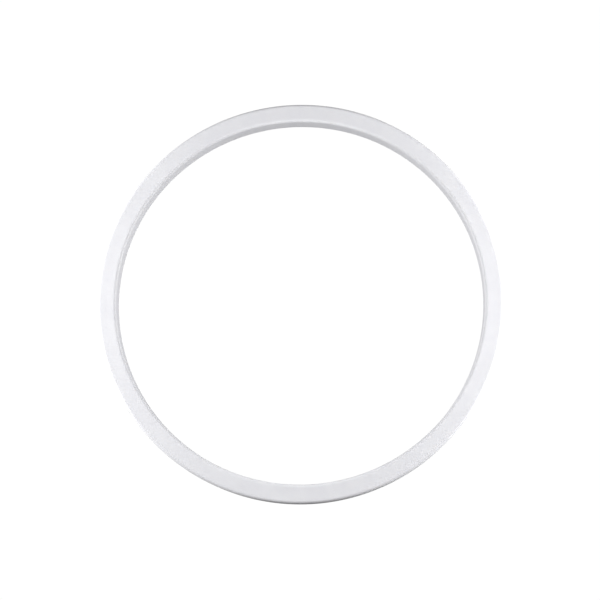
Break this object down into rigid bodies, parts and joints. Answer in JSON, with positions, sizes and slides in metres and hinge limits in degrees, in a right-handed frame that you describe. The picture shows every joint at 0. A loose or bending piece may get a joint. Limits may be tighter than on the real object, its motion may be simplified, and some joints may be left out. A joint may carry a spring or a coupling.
{
  "type": "rhythmic hoop",
  "caption": "White plastic gymnastics hoop of hollow rounded-square tube, its ends butted over an internal plug and held by flush staples.",
  "frame": {"origin": "on the floor, under the centre of the hoop, which lies flat", "axes": "+Z along the hoop's axis, upwards; the joint between the tube's ends is at the middle of the -Y side; +X is to the right when looking along +Y"},
  "size_m": [0.5, 0.5, 0.025],
  "materials": {
    "white_plastic": "satin, with faint lines along the tube from the extrusion die",
    "plug_plastic": "as moulded, uncoloured",
    "staple_steel": "bright galvanised wire"
  },
  "bodies": {
    "root": {"hoop_tube": "white_plastic", "joint_plug": "plug_plastic", "staple_left_far": "staple_steel", "staple_left_near": "staple_steel", "staple_right_near": "staple_steel", "staple_right_far": "staple_steel"}
  },
  "joints": []
}
